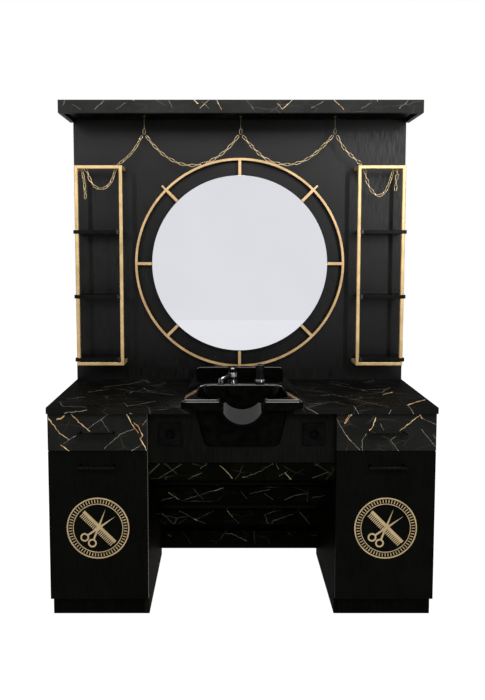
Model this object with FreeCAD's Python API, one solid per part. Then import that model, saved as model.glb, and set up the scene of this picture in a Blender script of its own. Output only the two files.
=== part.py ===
import FreeCAD, Part
import math
import os

# Barber's wall station with a built-in wash basin.  Millimetres, +X to the viewer's right,
# -Y towards the person standing in front, +Z up.  The origin is on the floor, in the middle
# of the footprint.  The unit's back is against a wall at y = WALL_Y.

# ---------------------------------------------------------------- driving dimensions
WALL_Y = 268.0                  # plane of the wall behind the unit; also half the overall depth
BOARD = 18.0                    # thickness of the laminated boards

COUNTER_HALF = 750.0
COUNTER_FRONT_Y = -250.0
COUNTER_TOP = 840.0
COUNTER_T = 25.0
COUNTER_BOTTOM = COUNTER_TOP - COUNTER_T

FACE_Y = -230.0                 # front plane of the doors and drawer fronts
FACE_BACK_Y = FACE_Y + BOARD
CARCASS_FRONT_Y = -209.0
CARCASS_OUT_X = 744.0           # outer faces of the pedestals
INNER_X = 365.0                 # the pedestals' faces towards the footwell
FRONT_IN_X = 366.0              # inner edge of doors and drawer fronts
CAVITY_IN_X = INNER_X + BOARD
CAVITY_OUT_X = CARCASS_OUT_X - BOARD
CABINET_BACK_Y = 250.0
CABINET_BACK_T = 6.0

PLINTH_H = 70.0
SHELF_Z = 360.0
DIVIDER_Z = 652.0
DIVIDER_DEPTH = 80.0
DOOR_Z = (71.0, 662.0)
DRAWER_Z = (665.0, 812.0)

DRAWER_BOX_Z = (690.0, 780.0)
DRAWER_BOX_BACK_Y = 150.0
DRAWER_SIDE_T = 15.0
DRAWER_BOTTOM_T = 6.0
RUNNER_SPACE = 13.5             # between a drawer's side and the pedestal's side
RUNNER_Z = (715.0, 755.0)
RUNNER_STEEL = 1.5
RUNNER_FRONT_Y = -205.0

HANDLE_X = 558.0
HANDLE_LENGTH = 145.0
HANDLE_CENTRES = 128.0
HANDLE_BAR = 10.0
HANDLE_REACH = 33.0
DRAWER_HANDLE_Z = 738.0
DOOR_HANDLE_Z = 609.0

HINGE_X = 747.2                 # pin axis, just outside the pedestal and behind the door's edge
HINGE_Y = -208.8
HINGE_BARREL_R = 3.0
HINGE_PIN_R = 1.5
HINGE_PIN_GAP = 0.05
HINGE_LEAF_T = 1.2
HINGE_LEAF_W = 22.0
HINGE_HEIGHT = 60.0
HINGE_CENTRES_Z = (135.0, 598.0)

EMBLEM_X = 560.0
EMBLEM_Z = 358.0
EMBLEM_R = 122.0
EMBLEM_T = 1.5

FASCIA_BOTTOM = 611.0
SLAT_FRONTS_Y = (-212.0, -70.0, 80.0, 230.0)     # each slat stands further back than the one above
SLAT_TOPS = (608.0, 460.0, 295.0, 130.0)
SLAT_H = 64.0
BATTEN = 20.0
BACKING_T = 6.0
FOOT_RAIL_Z = 46.0

SOCKET_X = 280.0
SOCKET_Z = 726.0
SOCKET_PLATE = 86.0
SOCKET_PLATE_T = 9.0

BASIN_RIM_TOP = 872.0
BASIN_FRONT_Y = -WALL_Y         # the basin's lip is the foremost point of the unit
BASIN_BACK_Y = 205.0
BASIN_FLOOR_Z = 692.0
BASIN_UNDER_Z = 676.0
UPSTAND_TOP = 912.0
NECK_R = 80.0
NECK_LIP_T = 10.0
SHOULDER_R = 18.0               # rounding between the neck rest and the rim's top
NECK_SLOPE = 55.0 / 53.0        # the neck rest falls towards the front
NECK_EDGE_Y = -215.0
NECK_EDGE_Z = 835.0             # lowest point of the neck rest at NECK_EDGE_Y
DRAIN_Y = -95.0
DRAIN_R = 22.0

MIXER_X, MIXER_Y = -33.0, 150.0
MIXER_NECK_R = 19.0
MIXER_R = 22.0
SPOUT_TIP = (-84.0, 26.0)       # over the bowl, turned a little to the left
SPOUT_Z = 887.0
SPOUT_R = 8.5
COLLAR_Z = (878.0, 896.0)       # the neck that the spout's collar turns on
CAP_Z = (901.4, 918.0)
LEVER_PIVOT_Z = 910.0
HANDSET_X, HANDSET_Y = 86.0, 88.0
HANDSET_STEM_R = 13.92
HANDSET_SLEEVE_R = 14.0
HANDSET_R = 19.5
HANDSET_TOP = 940.0

PANEL_HALF = 747.5
PANEL_Y = WALL_Y - BOARD
CANOPY_HALF = 760.0
CANOPY_FRONT_Y = 40.0
CANOPY_Z = (2006.0, 2060.0)
SOFFIT_Z = (2020.0, 2030.0)     # a thin board, set up a little from the canopy's lower edge
FIXING_Z = 2036.0
FIXING_R = 4.0
FIXING_X = 650.0
CABINET_FIXING_X = 555.0
CABINET_FIXING_Z = (240.0, 590.0)

MIRROR_Z = 1375.0
MIRROR_R = 395.0
MIRROR_T = 5.0
MIRROR_FRONT_Y = 216.0
MIRROR_BACKING_R = 374.0
RING_R = (461.5, 471.5)
RING_Y = (222.0, 234.0)
SPOKE_W = 12.5
SPOKE_COUNT = 8
PEG_REACH = 22.0

FRAME_X = (515.0, 723.0)        # inner and outer edges of a shelf frame
FRAME_Z = (924.0, 1805.0)
FRAME_FRONT_Y = 150.0
FRAME_TUBE = 15.0
SHELF_BOARD_TOPS = (958.0, 1239.0, 1524.0)
SHELF_BOARD_T = 16.0
SHELF_BOARD_PROUD = 3.0
CLIP_T = 2.0
CLIP_W = 11.0

HOOK_XS = (-420.0, 3.0, 416.0)
CHAIN_Y = 180.0                 # the chains hang in one plane, behind the shelf frames
LINK_Z = (1941.0, 1967.0)       # the link that hangs from each hook and holds two chains
LINK_WIRE_R = 1.5
CHAIN_D = 13.0                  # outer width of a link
HOOK_WIRE_R = 1.3
SCREW_POINTS = ((-541.0, 1800.0), (541.0, 1800.0), (-682.5, 1798.0), (682.5, 1798.0))
SCREW_REACH = 8.0

# Routes of the decorative chains as (x, z), chosen so that each hangs freely between its supports.
LEFT_SWAG = [
    (-411, 1936), (-394, 1912), (-370, 1885), (-338, 1855), (-298, 1829), (-252, 1811),
    (-205, 1806), (-155, 1816), (-108, 1838), (-68, 1867), (-34, 1901), (-7, 1936),
]
RIGHT_SWAG = [
    (12, 1936), (36, 1908), (66, 1874), (104, 1841), (150, 1818), (200, 1810),
    (250, 1815), (297, 1835), (338, 1865), (374, 1900), (407, 1937),
]
LEFT_END = [
    (-429, 1936), (-446, 1907), (-463, 1877), (-486, 1851), (-512, 1829), (-540, 1810),
    (-551, 1782), (-559, 1752), (-572, 1727), (-592, 1709), (-616, 1703), (-639, 1713),
    (-655, 1732), (-665, 1756), (-671, 1779), (-676, 1796), (-690, 1797), (-695, 1781),
    (-688, 1752), (-683, 1708), (-682, 1663),
]
RIGHT_END = [
    (425, 1936), (440, 1908), (457, 1881), (482, 1856), (510, 1831), (540, 1811),
    (550, 1782), (556, 1752), (565, 1722), (581, 1695), (602, 1674), (626, 1675),
    (643, 1695), (655, 1721), (664, 1748), (671, 1776), (676, 1795), (690, 1797),
    (695, 1781), (690, 1755), (687, 1728), (686, 1699),
]

V = FreeCAD.Vector
X_AXIS, Y_AXIS, Z_AXIS = V(1, 0, 0), V(0, 1, 0), V(0, 0, 1)
os.makedirs("parts", exist_ok=True)


# ---------------------------------------------------------------- helpers
def block(xs, ys, zs):
    """A box from its lowest and highest coordinate along each axis, in either order."""
    (x0, x1), (y0, y1), (z0, z1) = sorted(xs), sorted(ys), sorted(zs)
    return Part.makeBox(x1 - x0, y1 - y0, z1 - z0, V(x0, y0, z0))


def rod(radius, start, end):
    """A cylinder between two points."""
    along = V(*end) - V(*start)
    return Part.makeCylinder(radius, along.Length, V(*start), along)


def tube(outer, inner, start, end):
    return rod(outer, start, end).cut(rod(inner, start, end))


def group(solids):
    """Separate solids kept together in one node."""
    return Part.makeCompound(solids)


def fused(solids):
    return solids[0].multiFuse(solids[1:]).removeSplitter()


def softened(solid, radius, pick):
    """Round the edges that pick accepts."""
    return solid.makeFillet(radius, [e for e in solid.Edges if pick(e)])


def save(name, shape):
    shape.exportStep(f"parts/{name}.step")


def sided(side, x):
    """x on the left (-1) or the right (+1) of the unit."""
    return side * x


def polygon_prism(points, direction):
    """A flat polygon of 3-D points, pushed along a vector."""
    corners = [V(*p) for p in points]
    return Part.Face(Part.makePolygon(corners + corners[:1])).extrude(V(*direction))


def rounded_wire(corners, radius):
    """A closed outline at one height through corners, each rounded with an arc."""
    edges, ends = [], []
    count = len(corners)
    for i, corner in enumerate(corners):
        before, at, after = V(*corners[i - 1]), V(*corner), V(*corners[(i + 1) % count])
        back, ahead = (before - at).normalize(), (after - at).normalize()
        half = back.getAngle(ahead) / 2
        reach = radius / math.tan(half)
        middle = (back + ahead).normalize() * (radius / math.sin(half) - radius)
        ends.append((at + back * reach, at + middle, at + ahead * reach))
    for i, (start, middle, end) in enumerate(ends):
        edges.append(Part.Arc(start, middle, end).toShape())
        edges.append(Part.LineSegment(end, ends[(i + 1) % count][0]).toShape())
    return Part.Wire(edges)


def tapered_outline(front_y, back_y, front_half, back_half, z, radius):
    """A rounded outline whose back edge is narrower than its front edge."""
    return rounded_wire(
        [(-front_half, front_y, z), (front_half, front_y, z),
         (back_half, back_y, z), (-back_half, back_y, z)],
        radius,
    )


def loft(wires):
    return Part.makeLoft(wires, True, False)


def bent_tube(points, radius):
    """A round tube along straight runs joined by tangent arcs, its path and the arcs' radii."""
    edges, here, radii = [], points[0], []
    for before, at, after in zip(points, points[1:], points[2:]):
        back, ahead = before - at, after - at
        reach = 0.45 * min(back.Length, ahead.Length)
        back.normalize()
        ahead.normalize()
        half = back.getAngle(ahead) / 2
        bend = reach * math.tan(half)
        radii.append(round(bend))
        middle = at + (back + ahead).normalize() * (bend / math.sin(half) - bend)
        edges.append(Part.LineSegment(here, at + back * reach).toShape())
        edges.append(Part.Arc(at + back * reach, middle, at + ahead * reach).toShape())
        here = at + ahead * reach
    edges.append(Part.LineSegment(here, points[-1]).toShape())
    path = Part.Wire(edges)
    section = Part.Wire(Part.makeCircle(radius, points[0], points[1] - points[0]))
    return path.makePipeShell([section], True, False), path, radii


def chain_tube(name, points):
    """The plain round form of one chain; prints its length, its radii and its volume's share."""
    solid, path, radii = bent_tube([V(x, CHAIN_Y, z) for x, z in points], CHAIN_D / 2)
    share = solid.Volume / (math.pi * CHAIN_D ** 2 / 4 * path.Length)
    print(name, "length", round(path.Length), "radii", radii, "volume share", round(share, 3))
    save(name, solid)


# ---------------------------------------------------------------- pedestals
def bow_handle(x, z):
    """A straight bar on two posts."""
    bar_y = FACE_Y - HANDLE_REACH
    bar = block((x - HANDLE_LENGTH / 2, x + HANDLE_LENGTH / 2), (bar_y, bar_y + HANDLE_BAR),
                (z - HANDLE_BAR / 2, z + HANDLE_BAR / 2))
    bar = softened(bar, 2.5, lambda e: abs(e.tangentAt(e.FirstParameter).x) > 0.9)
    posts = [rod(HANDLE_BAR / 2 - 0.5, (x + s * HANDLE_CENTRES / 2, bar_y + HANDLE_BAR / 2, z),
                 (x + s * HANDLE_CENTRES / 2, FACE_Y, z)) for s in (-1, 1)]
    return fused([bar] + posts)


def scissors(x, y, z):
    """An open pair of scissors, flat: two tapered blades and two finger rings."""
    pieces = []
    for s in (-1, 1):
        outline = [(-4, 0, -14), (4, 0, -14), (5, 0, 10), (0.5, 0, 82), (-4, 0, 10)]
        blade = polygon_prism(outline, (0, EMBLEM_T, 0))
        shank = block((-3.5, 3.5), (0, EMBLEM_T), (-52, -10))
        grip = Part.makeCylinder(17, EMBLEM_T, V(0, 0, -64), Y_AXIS)
        hole = Part.makeCylinder(11, EMBLEM_T, V(0, 0, -64), Y_AXIS)
        arm = fused([blade, shank, grip]).cut(hole)
        arm.rotate(V(0, 0, 0), Y_AXIS, s * 17)
        pieces.append(arm)
    whole = fused(pieces)
    whole.rotate(V(0, 0, 0), Y_AXIS, 38)
    whole.translate(V(x, y, z))
    return whole


def comb(x, y, z):
    """A flat comb: a spine and a row of teeth."""
    spine = block((-86, 86), (0, EMBLEM_T), (2, 14))
    tooth_count, pitch, width = 23, 7.4, 3.6
    starts = [-83 + i * pitch for i in range(tooth_count)]
    teeth = [block((start, start + width), (0, EMBLEM_T), (-17, 3)) for start in starts]
    whole = fused([spine] + teeth)
    whole.rotate(V(0, 0, 0), Y_AXIS, 45)
    whole.translate(V(x, y, z))
    return whole


def emblem(x):
    """A flat badge: two rings joined by short rays around a crossed comb and scissors."""
    y = FACE_Y - EMBLEM_T

    def disc(radius):
        return Part.makeCylinder(radius, EMBLEM_T, V(x, y, EMBLEM_Z), Y_AXIS)

    outer_ring = disc(EMBLEM_R).cut(disc(EMBLEM_R - 5))
    inner_ring = disc(EMBLEM_R - 24).cut(disc(EMBLEM_R - 27))
    ray_count, half_width = 60, 1.6
    span = (EMBLEM_Z + EMBLEM_R - 21, EMBLEM_Z + EMBLEM_R - 8)
    rays = []
    for i in range(ray_count):
        ray = block((x - half_width, x + half_width), (y, y + EMBLEM_T), span)
        ray.rotate(V(x, y, EMBLEM_Z), Y_AXIS, i * 360 / ray_count)
        rays.append(ray)
    blades = scissors(x, y, EMBLEM_Z)
    teeth = comb(x, y, EMBLEM_Z).cut(blades)
    return group([outer_ring, inner_ring, blades] + teeth.Solids + rays)


def knuckle(x, z0, z1):
    return tube(HINGE_BARREL_R, HINGE_PIN_R + HINGE_PIN_GAP, (x, HINGE_Y, z0), (x, HINGE_Y, z1))


def hinge_halves(side):
    """Two butt hinges: the door's leaves have two knuckles each, the pedestal's one and the pin."""
    x = sided(side, HINGE_X)
    inwards = sided(side, HINGE_X - HINGE_LEAF_W)
    moving, fixed = [], []
    third = HINGE_HEIGHT / 3
    play = 0.2
    for centre in HINGE_CENTRES_Z:
        low, high = centre - HINGE_HEIGHT / 2, centre + HINGE_HEIGHT / 2
        gap_low, gap_high = centre - third / 2 - play, centre + third / 2 + play
        barrel_space = rod(HINGE_BARREL_R + play, (x, HINGE_Y, gap_low), (x, HINGE_Y, gap_high))
        pin_space = rod(HINGE_PIN_R + HINGE_PIN_GAP, (x, HINGE_Y, low - 1), (x, HINGE_Y, high + 1))
        leaf = block((x, inwards), (FACE_BACK_Y, FACE_BACK_Y + HINGE_LEAF_T), (low, high))
        knuckles = [knuckle(x, low, gap_low), knuckle(x, gap_high, high)]
        moving.append(fused([leaf] + knuckles).cut(pin_space).cut(barrel_space))
        fixed_leaf = block((x, inwards), (CARCASS_FRONT_Y - HINGE_LEAF_T, CARCASS_FRONT_Y),
                           (centre - third / 2, centre + third / 2))
        middle = rod(HINGE_BARREL_R, (x, HINGE_Y, centre - third / 2), (x, HINGE_Y, centre + third / 2))
        pin = rod(HINGE_PIN_R, (x, HINGE_Y, low), (x, HINGE_Y, high))
        fixed.append(fused([fixed_leaf, middle, pin]))
    return moving, fixed


def drawer_box(side):
    """Two sides, a back and a bottom, each a board of its own."""
    outer, inner = CAVITY_OUT_X - RUNNER_SPACE, CAVITY_IN_X + RUNNER_SPACE
    ys = (FACE_BACK_Y, DRAWER_BOX_BACK_Y)
    back_ys = (DRAWER_BOX_BACK_Y - DRAWER_SIDE_T, DRAWER_BOX_BACK_Y)
    low, high = DRAWER_BOX_Z
    between = (sided(side, inner + DRAWER_SIDE_T), sided(side, outer - DRAWER_SIDE_T))
    return group([
        block((sided(side, outer), sided(side, outer - DRAWER_SIDE_T)), ys, (low, high)),
        block((sided(side, inner), sided(side, inner + DRAWER_SIDE_T)), ys, (low, high)),
        block(between, back_ys, (low + DRAWER_BOTTOM_T, high)),
        block(between, ys, (low, low + DRAWER_BOTTOM_T)),
    ])


def runner_pair(side):
    """Steel channels on the pedestal's sides, and the bars on the drawer that run in them."""
    low, high = RUNNER_Z
    play = 0.5
    ys = (RUNNER_FRONT_Y, DRAWER_BOX_BACK_Y)
    channels, bars = [], []
    for wall, towards in ((CAVITY_OUT_X, -1), (CAVITY_IN_X, 1)):
        mouth = wall + towards * (RUNNER_SPACE - 2)
        solid = block((sided(side, wall), sided(side, mouth)), ys, (low, high))
        hollow = block((sided(side, wall + towards * RUNNER_STEEL), sided(side, mouth)), ys,
                       (low + RUNNER_STEEL, high - RUNNER_STEEL))
        channels.append(solid.cut(hollow))
        in_channel, at_drawer = wall + towards * (RUNNER_STEEL + play), wall + towards * RUNNER_SPACE
        bars.append(block((sided(side, in_channel), sided(side, at_drawer)), ys,
                          (low + RUNNER_STEEL + play, high - RUNNER_STEEL - play)))
    return channels, bars


def pedestal(side, name):
    """One pedestal's own nodes; returns the solids that share a node with the other pedestal's."""
    full_height = (0, COUNTER_BOTTOM)
    depth = (CARCASS_FRONT_Y, WALL_Y)
    cavity = (sided(side, CAVITY_IN_X), sided(side, CAVITY_OUT_X))
    outer = (sided(side, CAVITY_OUT_X), sided(side, CARCASS_OUT_X))
    inner = (sided(side, INNER_X), sided(side, CAVITY_IN_X))
    save(f"{name}_outer_side", block(outer, depth, full_height))
    save(f"{name}_inner_side", block(inner, depth, full_height))
    save(f"{name}_cabinet_boards", group([
        block(cavity, (CARCASS_FRONT_Y, CABINET_BACK_Y), (PLINTH_H, PLINTH_H + BOARD)),
        block(cavity, (CARCASS_FRONT_Y + BOARD, CABINET_BACK_Y), (SHELF_Z, SHELF_Z + BOARD)),
        block(cavity, (CARCASS_FRONT_Y, CARCASS_FRONT_Y + DIVIDER_DEPTH), (DIVIDER_Z, DIVIDER_Z + BOARD)),
    ]))

    front = (sided(side, FRONT_IN_X), sided(side, COUNTER_HALF))
    save(f"{name}_drawer_front", block(front, (FACE_Y, FACE_BACK_Y), DRAWER_Z))
    save(f"{name}_drawer_box", drawer_box(side))
    save(f"{name}_drawer_handle", bow_handle(sided(side, HANDLE_X), DRAWER_HANDLE_Z))
    channels, bars = runner_pair(side)
    save(f"{name}_drawer_bars", group(bars))

    save(f"{name}_door", block(front, (FACE_Y, FACE_BACK_Y), DOOR_Z))
    save(f"{name}_door_handle", bow_handle(sided(side, HANDLE_X), DOOR_HANDLE_Z))
    save(f"{name}_door_emblem", emblem(sided(side, EMBLEM_X)))
    moving, fixed = hinge_halves(side)
    save(f"{name}_door_hinge_leaves", group(moving))

    plinth = block(cavity, (CARCASS_FRONT_Y, CARCASS_FRONT_Y + BOARD), (0, PLINTH_H))
    back = block(cavity, (CABINET_BACK_Y, CABINET_BACK_Y + CABINET_BACK_T), (PLINTH_H, COUNTER_BOTTOM))
    for z in CABINET_FIXING_Z:
        x = sided(side, CABINET_FIXING_X)
        back = back.cut(rod(FIXING_R, (x, CABINET_BACK_Y - 1, z), (x, WALL_Y, z)))
    return channels, fixed, plinth, back


left_channels, left_leaves, left_plinth, left_back = pedestal(-1, "left")
right_channels, right_leaves, right_plinth, right_back = pedestal(1, "right")
save("drawer_runners", group(left_channels + right_channels))
save("pedestal_hinge_leaves", group(left_leaves + right_leaves))
save("plinths", group([left_plinth, right_plinth]))
save("cabinet_backs", group([left_back, right_back]))


# ---------------------------------------------------------------- wash basin
def bowl_outside(grow):
    """The bowl's outer form below the counter, larger by grow all round."""
    low = BASIN_UNDER_Z - grow
    body = loft([
        tapered_outline(-236 - grow, 28 + grow, 185 + grow, 174 + grow, COUNTER_TOP, 34),
        tapered_outline(-226 - grow, -2 + grow, 150 + grow, 142 + grow, low, 34),
    ])
    return softened(body, 24, lambda e: abs(e.CenterOfMass.z - low) < 0.01)


def neck_profile(radius, y_from, y_to):
    """A U-shaped trough that slopes down towards the front."""
    drop_from = NECK_EDGE_Z + (y_from - NECK_EDGE_Y) * NECK_SLOPE
    drop_to = NECK_EDGE_Z + (y_to - NECK_EDGE_Y) * NECK_SLOPE
    centre, top = drop_from + NECK_R, drop_from + NECK_R + 200
    left, right = V(-radius, y_from, centre), V(radius, y_from, centre)
    bottom = V(0, y_from, centre - radius)
    outline = Part.Wire([
        Part.Arc(left, bottom, right).toShape(),
        Part.LineSegment(right, V(radius, y_from, top)).toShape(),
        Part.LineSegment(V(radius, y_from, top), V(-radius, y_from, top)).toShape(),
        Part.LineSegment(V(-radius, y_from, top), left).toShape(),
    ])
    return Part.Face(outline).extrude(V(0, y_to - y_from, drop_to - drop_from))


def neck_shoulder(side):
    """What is cut away to round the neck rest's upper edge."""
    x, z = sided(side, NECK_R + SHOULDER_R), BASIN_RIM_TOP - SHOULDER_R
    corner = block((sided(side, NECK_R - 20), x), (BASIN_FRONT_Y - 1, -226), (z, BASIN_RIM_TOP + 5))
    return corner.cut(rod(SHOULDER_R, (x, BASIN_FRONT_Y - 2, z), (x, -225, z)))


def at_brim(edge):
    """Whether an edge is on the bowl's opening in the rim's top."""
    middle = edge.CenterOfMass
    return abs(middle.z - BASIN_RIM_TOP) < 0.01 and abs(middle.x) < 190 and -235 < middle.y < 10


def wash_basin():
    rim = loft([
        tapered_outline(BASIN_FRONT_Y, BASIN_BACK_Y, 235, 210, COUNTER_TOP, 26),
        tapered_outline(BASIN_FRONT_Y, BASIN_BACK_Y, 235, 210, BASIN_RIM_TOP, 26),
    ])
    rim = softened(rim, 12, lambda e: abs(e.CenterOfMass.z - BASIN_RIM_TOP) < 0.01)
    skirt = block((-206, 206), (BASIN_FRONT_Y, COUNTER_FRONT_Y - 2), (833, COUNTER_TOP + 5))
    upstand = block((-196, 196), (186, BASIN_BACK_Y - 1), (BASIN_RIM_TOP - 10, UPSTAND_TOP))
    top_corner = lambda e: e.CenterOfMass.z > UPSTAND_TOP - 1 and abs(e.CenterOfMass.x) > 190
    upstand = softened(upstand, 18, top_corner)
    upstand = softened(upstand, 6, lambda e: e.CenterOfMass.y < 187 and e.CenterOfMass.z > BASIN_RIM_TOP)
    lip = neck_profile(NECK_R + NECK_LIP_T, -230, BASIN_FRONT_Y)
    lip = lip.common(block((-200, 200), (BASIN_FRONT_Y, -225), (700, BASIN_RIM_TOP - 6)))
    cavity = loft([
        tapered_outline(-228, 2, 182, 168, BASIN_RIM_TOP + 1, 46),
        tapered_outline(-210, -20, 138, 132, BASIN_FLOOR_Z, 40),
    ])
    cavity = softened(cavity, 22, lambda e: abs(e.CenterOfMass.z - BASIN_FLOOR_Z) < 0.01)
    whole = fused([rim, bowl_outside(0), skirt, upstand, lip])
    whole = whole.cut(cavity)
    whole = softened(whole, 6, lambda e: at_brim(e))
    whole = whole.cut(neck_profile(NECK_R, -200, BASIN_FRONT_Y - 20))
    for side in (-1, 1):
        whole = whole.cut(neck_shoulder(side))
    for radius, x, y in ((DRAIN_R, 0, DRAIN_Y), (16.5, MIXER_X, MIXER_Y), (17.5, HANDSET_X, HANDSET_Y)):
        whole = whole.cut(rod(radius, (x, y, 600), (x, y, 900)))
    return whole


basin = wash_basin()
save("wash_basin", basin)


def drain_strainer():
    """A flanged cup in the drain hole with a ring of holes."""
    flange = rod(32, (0, DRAIN_Y, BASIN_FLOOR_Z), (0, DRAIN_Y, BASIN_FLOOR_Z + 3))
    neck = rod(DRAIN_R - 0.5, (0, DRAIN_Y, BASIN_FLOOR_Z - 30), (0, DRAIN_Y, BASIN_FLOOR_Z))
    bore = rod(DRAIN_R - 3.5, (0, DRAIN_Y, BASIN_FLOOR_Z - 30), (0, DRAIN_Y, BASIN_FLOOR_Z - 2))
    whole = fused([flange, neck]).cut(bore)
    holes = 8
    for i in range(holes):
        angle = 2 * math.pi * i / holes
        x, y = 12 * math.cos(angle), DRAIN_Y + 12 * math.sin(angle)
        whole = whole.cut(rod(3, (x, y, BASIN_FLOOR_Z - 5), (x, y, BASIN_FLOOR_Z + 5)))
    return whole


save("drain_strainer", drain_strainer())

TRAP_OUTLET_Z = 610.0
TRAP_OUTLET_R = 16.0


def waste_trap():
    """A bottle trap under the bowl with its outlet pipe running back to the wall."""
    collar = tube(30, DRAIN_R, (0, DRAIN_Y, BASIN_UNDER_Z - 17), (0, DRAIN_Y, BASIN_UNDER_Z))
    tail = tube(20, 17, (0, DRAIN_Y, 636), (0, DRAIN_Y, 660))
    tail = tail.fuse(tube(DRAIN_R + 2, 17, (0, DRAIN_Y, 655), (0, DRAIN_Y, 660)))
    bottle = rod(33, (0, DRAIN_Y, 566), (0, DRAIN_Y, 640))
    bottle = bottle.cut(rod(30, (0, DRAIN_Y, 570), (0, DRAIN_Y, 636)))
    bottle = bottle.cut(rod(17, (0, DRAIN_Y, 630), (0, DRAIN_Y, 650)))
    start, end = (0, DRAIN_Y + 31, TRAP_OUTLET_Z), (0, WALL_Y, TRAP_OUTLET_Z)
    outlet = tube(TRAP_OUTLET_R, TRAP_OUTLET_R - 2, start, end)
    nut = tube(21, TRAP_OUTLET_R, (0, DRAIN_Y + 31.5, TRAP_OUTLET_Z), (0, DRAIN_Y + 55, TRAP_OUTLET_Z))
    bottle = bottle.cut(rod(TRAP_OUTLET_R - 2, (0, DRAIN_Y, TRAP_OUTLET_Z), (0, DRAIN_Y + 60, TRAP_OUTLET_Z)))
    return fused([collar, tail, bottle, outlet, nut])


save("waste_trap", waste_trap())


# ---------------------------------------------------------------- mixer and hand shower
def mixer_body():
    """Base, neck that carries the swivelling spout, shoulder, and the shank through the deck."""
    x, y, top = MIXER_X, MIXER_Y, BASIN_RIM_TOP
    return fused([
        rod(26, (x, y, top), (x, y, top + 3)),
        rod(MIXER_R, (x, y, top + 3), (x, y, COLLAR_Z[0])),
        rod(MIXER_NECK_R, (x, y, COLLAR_Z[0]), (x, y, COLLAR_Z[1])),
        rod(MIXER_R, (x, y, COLLAR_Z[1]), (x, y, CAP_Z[0] - 0.4)),
        rod(16, (x, y, 800), (x, y, top)),
        rod(23, (x, y, 806), (x, y, 814)),
    ])


def mixer_spout():
    """A collar that turns on the body's neck, and a level tube with a down-turned outlet."""
    x, y, play = MIXER_X, MIXER_Y, 0.3
    tip_x, tip_y = SPOUT_TIP
    outlet = rod(11, (tip_x, tip_y, SPOUT_Z - 13), (tip_x, tip_y, SPOUT_Z + 6))
    reach = rod(SPOUT_R, (x, y, SPOUT_Z), (tip_x, tip_y, SPOUT_Z))
    collar = rod(MIXER_R + 2, (x, y, COLLAR_Z[0] + play), (x, y, COLLAR_Z[1] - play))
    bore = rod(MIXER_NECK_R + 0.06, (x, y, COLLAR_Z[0] - 5), (x, y, COLLAR_Z[1] + 5))
    whole = fused([outlet, reach, collar]).cut(bore)
    return whole.cut(rod(8, (tip_x, tip_y, SPOUT_Z - 14), (tip_x, tip_y, SPOUT_Z - 6)))


def mixer_cap():
    """The cap over the cartridge; it swivels with the lever and carries the lever's pin."""
    x, y = MIXER_X, MIXER_Y
    cap = rod(21, (x, y, CAP_Z[0]), (x, y, CAP_Z[1]))
    cap = softened(cap, 4, lambda e: e.CenterOfMass.z > CAP_Z[1] - 1)
    slot = block((x - 7.2, x + 7.2), (y - 30, y + 9), (CAP_Z[0] + 2, CAP_Z[1] + 2))
    pin = rod(2.5, (x - 9, y, LEVER_PIVOT_Z), (x + 9, y, LEVER_PIVOT_Z))
    return cap.cut(slot).fuse(pin)


def mixer_lever():
    """A flat lever with a boss on the cap's pin."""
    x, y = MIXER_X, MIXER_Y
    boss = rod(5.5, (x - 6.5, y, LEVER_PIVOT_Z), (x + 6.5, y, LEVER_PIVOT_Z))
    half_width, reach = 6.5, 74
    profile = [(-2, -1), (-reach, 13), (-reach, 18), (-2, 5)]
    corners = [(x - half_width, y + along, LEVER_PIVOT_Z + up) for along, up in profile]
    arm = polygon_prism(corners, (2 * half_width, 0, 0))
    bore = rod(2.55, (x - 10, y, LEVER_PIVOT_Z), (x + 10, y, LEVER_PIVOT_Z))
    return fused([boss, arm]).cut(bore)


save("mixer_body", mixer_body())
save("mixer_spout", mixer_spout())
save("mixer_cap", mixer_cap())
save("mixer_lever", mixer_lever())


def handset():
    """The hand shower, standing stem down in its deck socket."""
    x, y = HANDSET_X, HANDSET_Y
    head_low = BASIN_RIM_TOP + 8.5
    stem = rod(HANDSET_STEM_R, (x, y, 812), (x, y, head_low))
    head = rod(HANDSET_R, (x, y, head_low), (x, y, HANDSET_TOP))
    head = softened(head, 5, lambda e: e.CenterOfMass.z > HANDSET_TOP - 1)
    return fused([stem, head])


def handset_socket():
    x, y, top = HANDSET_X, HANDSET_Y, BASIN_RIM_TOP
    flange = rod(24, (x, y, top), (x, y, top + 7))
    sleeve = rod(17, (x, y, 800), (x, y, top))
    nut = rod(22, (x, y, 803), (x, y, 813))
    return fused([flange, sleeve, nut]).cut(rod(HANDSET_SLEEVE_R, (x, y, 790), (x, y, 890)))


save("handset", handset())
save("handset_socket", handset_socket())

VALVE_Z = 680.0
VALVE_SPREAD = 36.0
VALVE_BACK = 40.0               # from the wall to a valve's mouth
PIPE_SPREAD = 8.0
PIPE_R = 5.0


def supply_pipe(side):
    """A rigid tail from the mixer's shank, down, outwards and back to its stop valve."""
    near, far = MIXER_X + side * PIPE_SPREAD, MIXER_X + side * VALVE_SPREAD
    route = [V(near, MIXER_Y, 800), V(near, MIXER_Y, 762), V(far, MIXER_Y + 8, 722),
             V(far, MIXER_Y + 30, VALVE_Z), V(far, WALL_Y - VALVE_BACK, VALVE_Z)]
    return bent_tube(route, PIPE_R)[0]


def stop_valve(side):
    """A wall valve: thread towards the wall, body, and a small round knob below."""
    x = MIXER_X + side * VALVE_SPREAD
    thread = rod(10.4, (x, WALL_Y - 15, VALVE_Z), (x, WALL_Y, VALVE_Z))
    body = rod(13, (x, WALL_Y - VALVE_BACK, VALVE_Z), (x, WALL_Y - 15, VALVE_Z))
    stem = rod(4, (x, WALL_Y - 28, VALVE_Z - 30), (x, WALL_Y - 28, VALVE_Z))
    knob = rod(14, (x, WALL_Y - 28, VALVE_Z - 42), (x, WALL_Y - 28, VALVE_Z - 30))
    return fused([thread, body, stem, knob])


save("supply_pipes", group([supply_pipe(-1), supply_pipe(1)]))
save("stop_valves", group([stop_valve(-1), stop_valve(1)]))


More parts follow.
